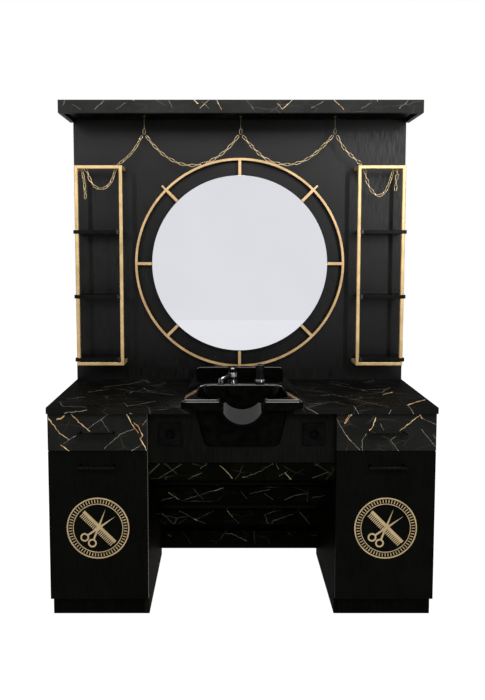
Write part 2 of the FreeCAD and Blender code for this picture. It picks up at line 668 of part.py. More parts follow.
# ---------------------------------------------------------------- counter, fascia and footwell
def countertop():
    """A board across both pedestals, notched from the front for the bowl, with two deck holes."""
    board = block((-COUNTER_HALF, COUNTER_HALF), (COUNTER_FRONT_Y, WALL_Y), (COUNTER_BOTTOM, COUNTER_TOP))
    notch = block((-196, 196), (COUNTER_FRONT_Y - 1, 36), (COUNTER_BOTTOM - 1, COUNTER_TOP + 1))
    board = board.cut(notch)
    for x, y in ((MIXER_X, MIXER_Y), (HANDSET_X, HANDSET_Y)):
        board = board.cut(rod(24, (x, y, 800), (x, y, COUNTER_TOP + 1)))
    return board


FASCIA_Y = (CARCASS_FRONT_Y, CARCASS_FRONT_Y + BOARD)
SOCKET_BODY_R = 30.0


def centre_fascia():
    """The plain board under the counter, cut away around the bowl and for the power sockets."""
    board = block((-INNER_X, INNER_X), FASCIA_Y, (FASCIA_BOTTOM, COUNTER_BOTTOM))
    board = board.cut(bowl_outside(0.5))
    for x in (-SOCKET_X, SOCKET_X):
        front, back = (x, FASCIA_Y[0] - 1, SOCKET_Z), (x, FASCIA_Y[1] + 1, SOCKET_Z)
        board = board.cut(rod(SOCKET_BODY_R + 1, front, back))
    return board


def power_socket(x):
    """A square plate with a round recess, two pin holes and the body behind."""
    front = CARCASS_FRONT_Y - SOCKET_PLATE_T
    half = SOCKET_PLATE / 2
    plate = block((x - half, x + half), (front, CARCASS_FRONT_Y), (SOCKET_Z - half, SOCKET_Z + half))
    plate = softened(plate, 3, lambda e: abs(e.CenterOfMass.y - front) < 0.01)
    body = rod(SOCKET_BODY_R, (x, CARCASS_FRONT_Y, SOCKET_Z), (x, CARCASS_FRONT_Y + 34, SOCKET_Z))
    whole = fused([plate, body]).cut(rod(20, (x, front - 1, SOCKET_Z), (x, front + 17, SOCKET_Z)))
    for s in (-1, 1):
        whole = whole.cut(rod(2.5, (x + s * 9.5, front + 16, SOCKET_Z), (x + s * 9.5, front + 34, SOCKET_Z)))
    return whole


save("countertop", countertop())
save("centre_fascia", centre_fascia())
save("power_sockets", group([power_socket(-SOCKET_X), power_socket(SOCKET_X)]))

save("footwell_slats", group([
    block((-INNER_X, INNER_X), (y, y + BOARD), (top - SLAT_H, top))
    for y, top in zip(SLAT_FRONTS_Y, SLAT_TOPS)
]))


def battens():
    """Blocks that hold the slats' ends to the pedestals, and the low rail behind the last slat."""
    blocks = []
    for y, top in list(zip(SLAT_FRONTS_Y, SLAT_TOPS))[:-1]:
        for side in (-1, 1):
            blocks.append(block((sided(side, INNER_X), sided(side, INNER_X - BATTEN)),
                                (y + BOARD, y + BOARD + BATTEN), (top - SLAT_H, top - BATTEN)))
    rail_y = SLAT_FRONTS_Y[-1]
    blocks.append(block((-INNER_X, INNER_X), (rail_y, rail_y + BOARD), (FOOT_RAIL_Z, SLAT_TOPS[-1] - SLAT_H)))
    return group(blocks)


def footwell_backing():
    """A thin board that slopes down and back behind the slats and ends in an upright foot."""
    top_y, top_z = -184.0, 607.0
    slope = (SLAT_TOPS[0] - SLAT_TOPS[2]) / (SLAT_FRONTS_Y[0] - SLAT_FRONTS_Y[2])
    foot_y = SLAT_FRONTS_Y[-1] + BOARD + 2
    foot_top, foot_bottom = top_z + slope * (foot_y - top_y), SLAT_TOPS[-1] - SLAT_H
    thickness = 1.5 * BACKING_T
    outline = [(top_y, top_z), (foot_y, foot_top), (foot_y, foot_bottom), (foot_y + BACKING_T, foot_bottom),
               (foot_y + BACKING_T, foot_top + thickness), (top_y, top_z + thickness)]
    return polygon_prism([(-INNER_X, y, z) for y, z in outline], (2 * INNER_X, 0, 0))


save("footwell_battens", battens())
save("footwell_backing", footwell_backing())


# ---------------------------------------------------------------- back panel, mirror and ring
def back_panel():
    board = block((-PANEL_HALF, PANEL_HALF), (PANEL_Y, WALL_Y), (COUNTER_TOP, CANOPY_Z[1] - BOARD))
    for x in (-FIXING_X, FIXING_X):
        board = board.cut(rod(FIXING_R, (x, PANEL_Y - 1, FIXING_Z), (x, WALL_Y + 1, FIXING_Z)))
    return board


def disc(radius, y0, y1):
    return rod(radius, (0, y0, MIRROR_Z), (0, y1, MIRROR_Z))


def mirror_ring():
    """A flat ring around the mirror on eight spokes, each with a stand-off to the panel."""
    y0, y1 = RING_Y
    ring = disc(RING_R[1], y0, y1).cut(disc(RING_R[0], y0 - 1, y1 + 1))
    pieces = [ring]
    for i in range(SPOKE_COUNT):
        reach = RING_R[0] + 3
        span = (MIRROR_Z + MIRROR_BACKING_R + 5, MIRROR_Z + reach)
        spoke = block((-SPOKE_W / 2, SPOKE_W / 2), (y0, y1), span)
        stand_off = rod(5, (0, y1, MIRROR_Z + MIRROR_R + 25), (0, PANEL_Y, MIRROR_Z + MIRROR_R + 25))
        arm = fused([spoke, stand_off])
        if i in (1, SPOKE_COUNT - 1):
            peg = block((-4, 4), (y0 + 2, y1 - 2), (MIRROR_Z + reach - 1, MIRROR_Z + RING_R[1] + PEG_REACH))
            arm = fused([arm, peg])
        arm.rotate(V(0, 0, MIRROR_Z), Y_AXIS, i * 360 / SPOKE_COUNT)
        pieces.append(arm)
    return fused(pieces)


save("back_panel", back_panel())
glass = disc(MIRROR_R, MIRROR_FRONT_Y, MIRROR_FRONT_Y + MIRROR_T)
save("mirror_glass", softened(glass, 1.5, lambda e: e.CenterOfMass.y < MIRROR_FRONT_Y + 0.1))
save("mirror_backing", disc(MIRROR_BACKING_R, MIRROR_FRONT_Y + MIRROR_T, PANEL_Y))
save("mirror_ring", mirror_ring())


# ---------------------------------------------------------------- shelf frames
def shelf_frame(side):
    """A rectangle of square tube standing off the panel on four stubs."""
    inner, outer = FRAME_X
    low, high = FRAME_Z
    ys = (FRAME_FRONT_Y, FRAME_FRONT_Y + FRAME_TUBE)
    posts = [block((sided(side, inner), sided(side, inner + FRAME_TUBE)), ys, (low, high)),
             block((sided(side, outer), sided(side, outer - FRAME_TUBE)), ys, (low, high))]
    bars = [block((sided(side, inner), sided(side, outer)), ys, (low, low + FRAME_TUBE)),
            block((sided(side, inner), sided(side, outer)), ys, (high - FRAME_TUBE, high))]
    stubs = [block((sided(side, x), sided(side, x + FRAME_TUBE)), (ys[0], PANEL_Y), (z, z + FRAME_TUBE))
             for x in (inner, outer - FRAME_TUBE) for z in (low, high - FRAME_TUBE)]
    return fused(posts + bars + stubs)


left_frame, right_frame = shelf_frame(-1), shelf_frame(1)
save("left_shelf_frame", left_frame)
save("right_shelf_frame", right_frame)


def shelf_boards(side, frame):
    """Three boards between the posts, let in around the outer one."""
    inner, outer = FRAME_X
    boards = []
    for top in SHELF_BOARD_TOPS:
        board = block((sided(side, inner + FRAME_TUBE), sided(side, outer + 7)),
                      (FRAME_FRONT_Y - SHELF_BOARD_PROUD, PANEL_Y), (top - SHELF_BOARD_T, top))
        boards += board.cut(frame).Solids
    return boards


def shelf_clips(side, boards):
    """A folded steel clip on the inner post around the front of each board."""
    post = FRAME_X[0] + FRAME_TUBE
    clips = []
    for top, board in zip(SHELF_BOARD_TOPS, boards):
        clip = block((sided(side, post), sided(side, post + CLIP_W)),
                     (FRAME_FRONT_Y - SHELF_BOARD_PROUD - CLIP_T, FRAME_FRONT_Y + FRAME_TUBE),
                     (top - SHELF_BOARD_T - CLIP_T, top + CLIP_T))
        clips.append(clip.cut(board))
    return clips


left_boards, right_boards = shelf_boards(-1, left_frame), shelf_boards(1, right_frame)
save("shelf_boards", group(left_boards + right_boards))
save("shelf_clips", group(shelf_clips(-1, left_boards) + shelf_clips(1, right_boards)))


# ---------------------------------------------------------------- canopy, hooks and chains
high = CANOPY_Z[1]
inside = CANOPY_HALF - BOARD
behind_front = CANOPY_FRONT_Y + BOARD
save("canopy_front", block((-CANOPY_HALF, CANOPY_HALF), (CANOPY_FRONT_Y, behind_front), CANOPY_Z))
save("canopy_soffit", block((-inside, inside), (behind_front, PANEL_Y), SOFFIT_Z))
save("canopy_casing", group(
    [block((-inside, inside), (behind_front, WALL_Y), (high - BOARD, high))]
    + [block((sided(s, inside), sided(s, CANOPY_HALF)), (behind_front, PANEL_Y), CANOPY_Z) for s in (-1, 1)]
))


def chain_hook(x):
    """A screw hook under the soffit, with the oval link that hangs from it."""
    plate = rod(8, (x, CHAIN_Y, SOFFIT_Z[0] - 2), (x, CHAIN_Y, SOFFIT_Z[0]))
    shank = rod(HOOK_WIRE_R, (x, CHAIN_Y, LINK_Z[1] - 2), (x, CHAIN_Y, SOFFIT_Z[0]))
    bend = CHAIN_D / 2 - LINK_WIRE_R
    low_z, high_z = LINK_Z[0] + CHAIN_D / 2, LINK_Z[1] - CHAIN_D / 2
    pieces = [plate, shank]
    for z, first in ((low_z, 180), (high_z, 0)):
        half_ring = Part.makeTorus(bend, LINK_WIRE_R, V(0, 0, 0), Z_AXIS, 0, 360, 180)
        half_ring.rotate(V(0, 0, 0), Z_AXIS, first)
        half_ring.rotate(V(0, 0, 0), X_AXIS, 90)
        half_ring.translate(V(x, CHAIN_Y, z))
        pieces.append(half_ring)
    for side_x in (x - bend, x + bend):
        pieces.append(rod(LINK_WIRE_R, (side_x, CHAIN_Y, low_z), (side_x, CHAIN_Y, high_z)))
    return fused(pieces)


def chain_screw(x, z):
    """A screw in the back of a frame's top bar, which a chain hangs from."""
    back = FRAME_FRONT_Y + FRAME_TUBE
    return fused([rod(2, (x, back, z), (x, back + SCREW_REACH, z)),
                  rod(4, (x, back + SCREW_REACH - 2, z), (x, back + SCREW_REACH, z))])


save("chain_hooks", group([chain_hook(x) for x in HOOK_XS] + [chain_screw(x, z) for x, z in SCREW_POINTS]))
chain_tube("left_swag_chain", LEFT_SWAG)
chain_tube("right_swag_chain", RIGHT_SWAG)
chain_tube("left_end_chain", LEFT_END)
chain_tube("right_end_chain", RIGHT_END)
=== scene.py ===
"""Looks for a barber's wall station with a built-in wash basin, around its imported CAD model."""
import math

import bmesh
import bpy
from mathutils import Matrix, Vector


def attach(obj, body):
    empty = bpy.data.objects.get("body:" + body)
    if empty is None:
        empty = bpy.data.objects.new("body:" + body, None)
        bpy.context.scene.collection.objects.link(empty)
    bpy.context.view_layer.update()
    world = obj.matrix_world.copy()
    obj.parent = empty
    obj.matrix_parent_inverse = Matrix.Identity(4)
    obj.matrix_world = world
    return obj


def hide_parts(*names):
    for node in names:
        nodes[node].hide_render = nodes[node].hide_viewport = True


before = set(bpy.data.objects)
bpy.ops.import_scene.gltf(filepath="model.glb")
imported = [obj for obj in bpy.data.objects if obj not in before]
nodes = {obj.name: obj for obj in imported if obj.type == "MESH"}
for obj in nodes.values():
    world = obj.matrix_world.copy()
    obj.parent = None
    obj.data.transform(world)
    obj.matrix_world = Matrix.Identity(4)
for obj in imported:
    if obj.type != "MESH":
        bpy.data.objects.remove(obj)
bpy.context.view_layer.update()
scene = bpy.context.scene


def add_object(name, data):
    obj = bpy.data.objects.new(name, data)
    scene.collection.objects.link(obj)
    return obj


# ---------------------------------------------------------------- camera
LENS_MM = 31.8857
LOOKS_DOWN = 3.91               # degrees below level
camera_data = bpy.data.cameras.new("camera")
camera_data.sensor_width = 36.0
camera_data.lens = LENS_MM
camera_data.shift_x = 0.0238
camera_data.shift_y = -0.0891
camera = add_object("camera", camera_data)
camera.location = (-0.0623, -2.5765, 1.4576)
camera.rotation_euler = (math.radians(90 - LOOKS_DOWN), 0, 0)
scene.camera = camera


# ---------------------------------------------------------------- chains
CHAIN_Y = 0.180                 # the plane that the chains hang in
CHAIN_D = 0.013                 # outer width of a link
LINK_WIRE_R = 0.0012
LINK_LENGTH = 0.028
LINK_OVERLAP = 4 * LINK_WIRE_R  # how far two joined links reach past each other
LINK_PITCH = LINK_LENGTH - LINK_OVERLAP
LINK_STEPS = 20                 # sections around a link
WIRE_SIDES = 8                  # sides of the wire's section
LINK_TURN = math.radians(28)    # how far the first link is turned from lying flat

# Control points of each chain's route, as (x, z).
LEFT_SWAG = [
    (-0.411, 1.936), (-0.394, 1.912), (-0.370, 1.885), (-0.338, 1.855), (-0.298, 1.829), (-0.252, 1.811),
    (-0.205, 1.806), (-0.155, 1.816), (-0.108, 1.838), (-0.068, 1.867), (-0.034, 1.901), (-0.007, 1.936),
]
RIGHT_SWAG = [
    (0.012, 1.936), (0.036, 1.908), (0.066, 1.874), (0.104, 1.841), (0.150, 1.818), (0.200, 1.810),
    (0.250, 1.815), (0.297, 1.835), (0.338, 1.865), (0.374, 1.900), (0.407, 1.937),
]
LEFT_END = [
    (-0.429, 1.936), (-0.446, 1.907), (-0.463, 1.877), (-0.486, 1.851), (-0.512, 1.829), (-0.540, 1.810),
    (-0.551, 1.782), (-0.559, 1.752), (-0.572, 1.727), (-0.592, 1.709), (-0.616, 1.703), (-0.639, 1.713),
    (-0.655, 1.732), (-0.665, 1.756), (-0.671, 1.779), (-0.676, 1.796), (-0.690, 1.797), (-0.695, 1.781),
    (-0.688, 1.752), (-0.683, 1.708), (-0.682, 1.663),
]
RIGHT_END = [
    (0.425, 1.936), (0.440, 1.908), (0.457, 1.881), (0.482, 1.856), (0.510, 1.831), (0.540, 1.811),
    (0.550, 1.782), (0.556, 1.752), (0.565, 1.722), (0.581, 1.695), (0.602, 1.674), (0.626, 1.675),
    (0.643, 1.695), (0.655, 1.721), (0.664, 1.748), (0.671, 1.776), (0.676, 1.795), (0.690, 1.797),
    (0.695, 1.781), (0.690, 1.755), (0.687, 1.728), (0.686, 1.699),
]


def smooth_route(points):
    """Points along the NURBS line whose control points are the route's."""
    curve = bpy.data.curves.new("route", "CURVE")
    curve.dimensions = "3D"
    curve.resolution_u = 16
    spline = curve.splines.new("NURBS")
    spline.points.add(len(points) - 1)
    for point, (x, z) in zip(spline.points, points):
        point.co = (x, CHAIN_Y, z, 1)
    spline.order_u = 3
    spline.use_endpoint_u = True
    obj = add_object("route", curve)
    mesh = bpy.data.meshes.new_from_object(obj)
    path = [v.co.copy() for v in mesh.vertices]
    bpy.data.objects.remove(obj)
    bpy.data.meshes.remove(mesh)
    return path


def point_along(path, distance):
    """The point at a distance along a path, going straight on past its ends."""
    for a, b in zip(path, path[1:]):
        step = (b - a).length
        if distance <= step or b is path[-1]:
            return a + (b - a) * (distance / step)
        distance -= step


def add_link(bm, centre, along, across, length):
    """One oval link of round wire, lying in the plane of along and across."""
    normal = along.cross(across)
    bend = CHAIN_D / 2 - LINK_WIRE_R
    straight = length / 2 - CHAIN_D / 2
    rings = []
    for i in range(LINK_STEPS):
        angle = 2 * math.pi * i / LINK_STEPS
        out = along * math.cos(angle) + across * math.sin(angle)
        side = round(math.cos(angle), 6)
        end = (side > 0) - (side < 0)
        middle = centre + along * straight * end + out * bend
        ring = []
        for j in range(WIRE_SIDES):
            turn = 2 * math.pi * j / WIRE_SIDES
            away = out * math.cos(turn) + normal * math.sin(turn)
            ring.append(bm.verts.new(middle + away * LINK_WIRE_R))
        rings.append(ring)
    for i, ring in enumerate(rings):
        following = rings[(i + 1) % LINK_STEPS]
        for j in range(WIRE_SIDES):
            k = (j + 1) % WIRE_SIDES
            face = bm.faces.new((ring[j], following[j], following[k], ring[k]))
            face.smooth = True


def add_chain(name, points):
    """A chain of links along a route, each turned a quarter from the one before it."""
    path = smooth_route(points)
    total = sum((b - a).length for a, b in zip(path, path[1:]))
    count = round(total / LINK_PITCH)
    pitch = total / count
    bm = bmesh.new()
    for i in range(count):
        start = point_along(path, i * pitch)
        end = point_along(path, (i + 1) * pitch)
        along = (end - start).normalized()
        flat = along.cross(Vector((0, 1, 0))).normalized()
        across = Matrix.Rotation(LINK_TURN + i * math.pi / 2, 3, along) @ flat
        add_link(bm, (start + end) / 2, along, across, pitch + LINK_OVERLAP)
    mesh = bpy.data.meshes.new(name)
    bm.to_mesh(mesh)
    bm.free()
    chain = add_object(name, mesh)
    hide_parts(name + "_chain")
    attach(chain, "cabinet")
    return chain


chains = [
    add_chain("left_swag", LEFT_SWAG),
    add_chain("right_swag", RIGHT_SWAG),
    add_chain("left_end", LEFT_END),
    add_chain("right_end", RIGHT_END),
]


# ---------------------------------------------------------------- finishes
def tone(red, green, blue):
    """A linear colour from its display values, 0 to 255."""
    values = [c / 255 for c in (red, green, blue)]
    return tuple(c / 12.92 if c <= 0.04045 else ((c + 0.055) / 1.055) ** 2.4 for c in values) + (1.0,)


class Finish:
    """A material and short ways to add nodes to it."""

    def __init__(self, name, **settings):
        self.material = bpy.data.materials.new(name)
        self.material.use_nodes = True
        self.tree = self.material.node_tree
        self.shader = self.tree.nodes["Principled BSDF"]
        for socket, value in settings.items():
            self.shader.inputs[socket.replace("_", " ")].default_value = value

    def add(self, kind, inputs=(), **settings):
        node = self.tree.nodes.new("ShaderNode" + kind)
        for key, value in settings.items():
            setattr(node, key, value)
        for key, value in dict(inputs).items():
            self.feed(node, key, value)
        return node

    def feed(self, node, key, value):
        if isinstance(value, bpy.types.NodeSocket):
            self.tree.links.new(value, node.inputs[key])
        else:
            node.inputs[key].default_value = value

    def place(self):
        return self.add("TexCoord").outputs["Object"]

    def scaled(self, vector, scale, rotation=(0, 0, 0)):
        node = self.add("Mapping", {"Vector": vector, "Scale": scale, "Rotation": rotation})
        return node.outputs["Vector"]

    def noise(self, vector, scale, detail=3.0, roughness=0.5):
        node = self.add("TexNoise", {"Vector": vector, "Scale": scale, "Detail": detail,
                                     "Roughness": roughness})
        return node.outputs["Fac"]

    def ranged(self, value, low, high, to_low=0.0, to_high=1.0):
        """A smooth step from to_low below low to to_high above high."""
        node = self.add("MapRange", {"Value": value, "From Min": low, "From Max": high,
                                     "To Min": to_low, "To Max": to_high},
                        interpolation_type="SMOOTHSTEP")
        return node.outputs["Result"]

    def math(self, operation, a, b):
        return self.add("Math", {0: a, 1: b}, operation=operation).outputs["Value"]

    def vector(self, operation, a, b, out="Vector"):
        return self.add("VectorMath", {0: a, 1: b}, operation=operation).outputs[out]

    def mix(self, factor, a, b):
        """Colour a where factor is 0 and b where it is 1."""
        node = self.add("Mix", {"Factor": factor}, data_type="RGBA")
        colours = [s for s in node.inputs if s.type == "RGBA"]
        for socket, value in zip(colours, (a, b)):
            if isinstance(value, bpy.types.NodeSocket):
                self.tree.links.new(value, socket)
            else:
                socket.default_value = value
        return next(s for s in node.outputs if s.type == "RGBA")

    def facing(self, direction):
        """How squarely the surface faces a direction: 1 straight at it, 0 edge on."""
        return self.vector("DOT_PRODUCT", self.add("TexCoord").outputs["Normal"], direction, "Value")

    def add_painted_side_highlight(self, base):
        """The base colour with a painted highlight on the side that faces +X, as if lit from the right.
        """
        side = self.facing((1.0, 0.0, 0.0))
        return self.mix(self.ranged(side, 0.80, 0.95), base, tone(84, 82, 78))

    def colour(self, value):
        self.feed(self.shader, "Base Color", value)

    def roughness(self, value):
        self.feed(self.shader, "Roughness", value)

    def bump(self, height, distance, strength):
        node = self.add("Bump", {"Height": height, "Strength": strength, "Distance": distance})
        self.tree.links.new(node.outputs["Normal"], self.shader.inputs["Normal"])


SKEW = 0.6                      # how far the marble's pattern leans with depth


def flat_point(x, y, z):
    """Where a point of the object falls in the marble's flat pattern."""
    return (x + SKEW * y, z - y, 0.0)


def streak_group():
    """A node group: how near a point is to a straight streak, 1 in it and 0 away from it."""
    tree = bpy.data.node_groups.new("streak", "ShaderNodeTree")
    for name, kind in (("Point", "NodeSocketVector"), ("Start", "NodeSocketVector"),
                       ("End", "NodeSocketVector"), ("Width", "NodeSocketFloat")):
        tree.interface.new_socket(name, in_out="INPUT", socket_type=kind)
    tree.interface.new_socket("Nearness", in_out="OUTPUT", socket_type="NodeSocketFloat")
    inputs = tree.nodes.new("NodeGroupInput").outputs
    outputs = tree.nodes.new("NodeGroupOutput").inputs

    def node(kind, operation, *values):
        made = tree.nodes.new("ShaderNode" + kind)
        made.operation = operation
        for i, value in enumerate(values):
            if isinstance(value, bpy.types.NodeSocket):
                tree.links.new(value, made.inputs[i])
            else:
                made.inputs[i].default_value = value
        return made

    from_start = node("VectorMath", "SUBTRACT", inputs["Point"], inputs["Start"]).outputs["Vector"]
    whole = node("VectorMath", "SUBTRACT", inputs["End"], inputs["Start"]).outputs["Vector"]
    along = node("VectorMath", "DOT_PRODUCT", from_start, whole).outputs["Value"]
    square = node("VectorMath", "DOT_PRODUCT", whole, whole).outputs["Value"]
    share = node("Math", "DIVIDE", along, square)
    share.use_clamp = True
    scale = node("VectorMath", "SCALE", whole)
    tree.links.new(share.outputs["Value"], scale.inputs["Scale"])
    off = node("VectorMath", "DISTANCE", from_start, scale.outputs["Vector"]).outputs["Value"]
    ratio = node("Math", "DIVIDE", off, inputs["Width"]).outputs["Value"]
    step = tree.nodes.new("ShaderNodeMapRange")
    step.interpolation_type = "SMOOTHSTEP"
    tree.links.new(ratio, step.inputs["Value"])
    for key, value in (("From Min", 0.25), ("From Max", 1.0), ("To Min", 1.0), ("To Max", 0.0)):
        step.inputs[key].default_value = value
    tree.links.new(step.outputs["Result"], outputs["Nearness"])
    return tree


STREAK = streak_group()
VEIN_WHITE = tone(128, 124, 114)
VEIN_PALE_GOLD = tone(194, 174, 136)
VEIN_COPPER = tone(162, 120, 82)


def marble(name, thin=(), bold=(), net=1.0, black=(13, 26), specular=0.06, veins=1.0,
           paint_side_highlight=False):
    """Black marble laminate: clouded black, a net of hair veins, and the board's own streaks.

    thin and bold are lists of (width in mm, points), in the unit's own metres. net and veins
    are the strengths of the hair veins and of the streaks."""
    f = Finish(name, Specular_IOR_Level=specular)
    place = f.place()
    u = f.vector("DOT_PRODUCT", place, (1.0, SKEW, 0.0), "Value")
    v = f.vector("DOT_PRODUCT", place, (0.0, -1.0, 1.0), "Value")
    flat = f.add("CombineXYZ", {"X": u, "Y": v}).outputs["Vector"]
    coarse = f.add("TexNoise", {"Vector": flat, "Scale": 9.0, "Detail": 4.0}).outputs["Color"]
    sway = f.vector("SUBTRACT", coarse, (0.5, 0.5, 0.5))
    bent = f.vector("ADD", flat, f.vector("MULTIPLY", sway, (0.030, 0.030, 0.0)))
    fine = f.add("TexNoise", {"Vector": flat, "Scale": 70.0, "Detail": 3.0}).outputs["Color"]
    shiver = f.vector("SUBTRACT", fine, (0.5, 0.5, 0.5))
    uneven = f.vector("ADD", flat, f.vector("MULTIPLY", shiver, (0.009, 0.009, 0.0)))

    cloud = f.ranged(f.noise(flat, 5.0, 5.0, 0.6), 0.35, 0.75)
    deep, pale = black
    base = f.mix(cloud, tone(deep, deep, deep - 1), tone(pale, pale, pale - 2))

    def vein_net(scale, angle, width, low, high):
        across = f.scaled(bent, (scale, scale * 2.1, 1.0), (0, 0, math.radians(angle)))
        cells = f.add("TexVoronoi", {"Vector": across, "Scale": 1.0, "Randomness": 0.95},
                      voronoi_dimensions="2D", feature="DISTANCE_TO_EDGE").outputs["Distance"]
        line = f.ranged(cells, width * 0.2, width, 1.0, 0.0)
        shown = f.ranged(f.noise(flat, scale * 1.3, 2.0), low, high)
        return f.math("MULTIPLY", line, shown)

    hair = f.math("MAXIMUM", vein_net(3.2, 33, 0.012, 0.50, 0.64),
                  vein_net(4.1, -38, 0.014, 0.52, 0.68))
    base = f.mix(f.math("MULTIPLY", hair, 0.40 * net), base, VEIN_WHITE)
    faint = vein_net(8.0, 12, 0.03, 0.45, 0.70)
    base = f.mix(f.math("MULTIPLY", faint, 0.16 * net), base, VEIN_WHITE)

    patchy = f.ranged(f.noise(flat, 45.0, 2.0), 0.30, 0.70, 0.55, 1.25)

    def streaks(rows):
        nearest = None
        for width, points in rows:
            wide = f.math("MULTIPLY", patchy, width / 2000)
            for start, end in zip(points, points[1:]):
                node = f.tree.nodes.new("ShaderNodeGroup")
                node.node_tree = STREAK
                for key, value in (("Point", uneven), ("Start", flat_point(*start)),
                                   ("End", flat_point(*end)), ("Width", wide)):
                    f.feed(node, key, value)
                near = node.outputs["Nearness"]
                nearest = near if nearest is None else f.math("MAXIMUM", nearest, near)
        return nearest

    if thin:
        fading = f.ranged(f.noise(flat, 22.0), 0.3, 0.6, 0.35, 0.8)
        strength = f.math("MULTIPLY", streaks(thin), fading)
        base = f.mix(f.math("MULTIPLY", strength, veins), base, VEIN_WHITE)
    if bold:
        gilt = f.mix(f.ranged(f.noise(flat, 16.0, 2.0), 0.42, 0.60), VEIN_PALE_GOLD, VEIN_COPPER)
        base = f.mix(f.math("MULTIPLY", streaks(bold), 0.95 * veins), base, gilt)
    # A painted highlight on the +X side, where asked for.
    f.colour(f.add_painted_side_highlight(base) if paint_side_highlight else base)
    f.roughness(f.ranged(f.noise(place, 240.0, 3.0), 0.3, 0.7, 0.38, 0.50))
    f.bump(f.noise(place, 420.0, 3.0), 0.00015, 0.5)
    return f.material


def black_board(name, dark, light, specular=0.006, roughness=(0.42, 0.55), paint_side_highlight=False):
    """Matt black laminate with a faint upright grain."""
    f = Finish(name, Specular_IOR_Level=specular)
    place = f.place()
    grain = f.noise(f.scaled(place, (1.0, 1.0, 0.06)), 260.0, 4.0, 0.6)
    cloud = f.noise(place, 7.0, 3.0)
    both = f.math("ADD", f.math("MULTIPLY", grain, 0.6), f.math("MULTIPLY", cloud, 0.4))
    base = f.mix(f.ranged(both, 0.35, 0.65), tone(*dark), tone(*light))
    # A painted highlight on the +X side, where asked for.
    f.colour(f.add_painted_side_highlight(base) if paint_side_highlight else base)
    f.roughness(f.ranged(grain, 0.3, 0.7, *roughness))
    f.bump(grain, 0.0002, 0.5)
    return f.material


def inner_side_board(name, dark, light):
    """The board beside the footwell: black, with a painted warm reflection of the floor low down."""
    f = Finish(name, Specular_IOR_Level=0.0008)
    place = f.place()
    grain = f.noise(f.scaled(place, (1.0, 1.0, 0.06)), 260.0, 4.0, 0.6)
    height = f.vector("DOT_PRODUCT", place, (0.0, 0.0, 1.0), "Value")
    # Painted reflection: the warm tone takes over towards the bottom of the board.
    low = f.ranged(height, 0.12, 0.42, 1.0, 0.0)
    board = f.mix(f.ranged(grain, 0.35, 0.65), tone(1, 1, 1), tone(4, 4, 3))
    painted_floor_reflection = f.mix(f.ranged(grain, 0.35, 0.65), tone(*dark), tone(*light))
    f.colour(f.mix(low, board, painted_floor_reflection))
    f.roughness(f.ranged(grain, 0.3, 0.7, 0.42, 0.55))
    f.bump(grain, 0.0002, 0.5)
    return f.material


def metal(name, dark, light, roughness, metallic=1.0):
    """Painted or plated metal: small colour changes, fine scratches, handled patches."""
    f = Finish(name, Metallic=metallic, Specular_IOR_Level=0.5)
    place = f.place()
    patch = f.noise(place, 18.0, 4.0, 0.6)
    scratch = f.noise(f.scaled(place, (1.0, 1.0, 0.15)), 900.0, 2.0)
    f.colour(f.mix(f.ranged(patch, 0.3, 0.7), tone(*dark), tone(*light)))
    f.roughness(f.math("ADD", f.ranged(patch, 0.3, 0.7, *roughness),
                       f.math("MULTIPLY", scratch, 0.06)))
    f.bump(scratch, 0.00004, 0.4)
    return f.material


def plastic(name, dark, light, roughness, specular=0.5):
    """Moulded plastic or enamel with a slight orange peel."""
    f = Finish(name, Specular_IOR_Level=specular)
    place = f.place()
    patch = f.noise(place, 30.0, 3.0)
    f.colour(f.mix(f.ranged(patch, 0.3, 0.7), tone(*dark), tone(*light)))
    f.roughness(f.ranged(f.noise(place, 90.0, 3.0), 0.3, 0.7, *roughness))
    f.bump(f.noise(place, 600.0, 2.0), 0.00005, 0.3)
    return f.material


def basin_finish():
    """Glossy black acrylic, polished most on the surfaces that face up."""
    f = Finish("basin", IOR=1.7)
    place = f.place()
    patch = f.noise(place, 30.0, 3.0)
    f.colour(f.mix(f.ranged(patch, 0.3, 0.7), tone(2, 2, 2), tone(5, 5, 4)))
    polish = f.ranged(f.facing((0.0, 0.0, 1.0)), 0.15, 0.50)
    f.feed(f.shader, "Specular IOR Level", f.math("ADD", f.math("MULTIPLY", polish, 0.30), 0.002))
    f.roughness(0.0)
    f.bump(f.noise(place, 60.0, 2.0), 0.0004, 0.3)
    return f.material


def mirror_finish():
    """Silvered glass with a slight cool tint and the faintest haze."""
    f = Finish("mirror_glass", Metallic=1.0, Specular_IOR_Level=0.5)
    place = f.place()
    haze = f.noise(place, 3.0, 3.0)
    silver = f.mix(f.ranged(haze, 0.3, 0.7), tone(219, 220, 226), tone(222, 223, 229))
    face = f.ranged(f.facing((0.0, -1.0, 0.0)), 0.97, 0.995)
    f.colour(f.mix(face, tone(70, 74, 76), silver))
    f.roughness(f.math("MULTIPLY", f.math("SUBTRACT", 1.0, face), 0.3))
    return f.material


# Streaks of each marble board, as (width in mm, points in metres).
Y_DRAWER, Y_CANOPY = -0.230, 0.040
SLAT_YS = (-0.212, -0.070, 0.080, 0.230)


def on_plane(y, rows):
    """Rows of (width, (x, z), (x, z), ...) on an upright plane."""
    return [(row[0], [(x, y, z) for x, z in row[1:]]) for row in rows]


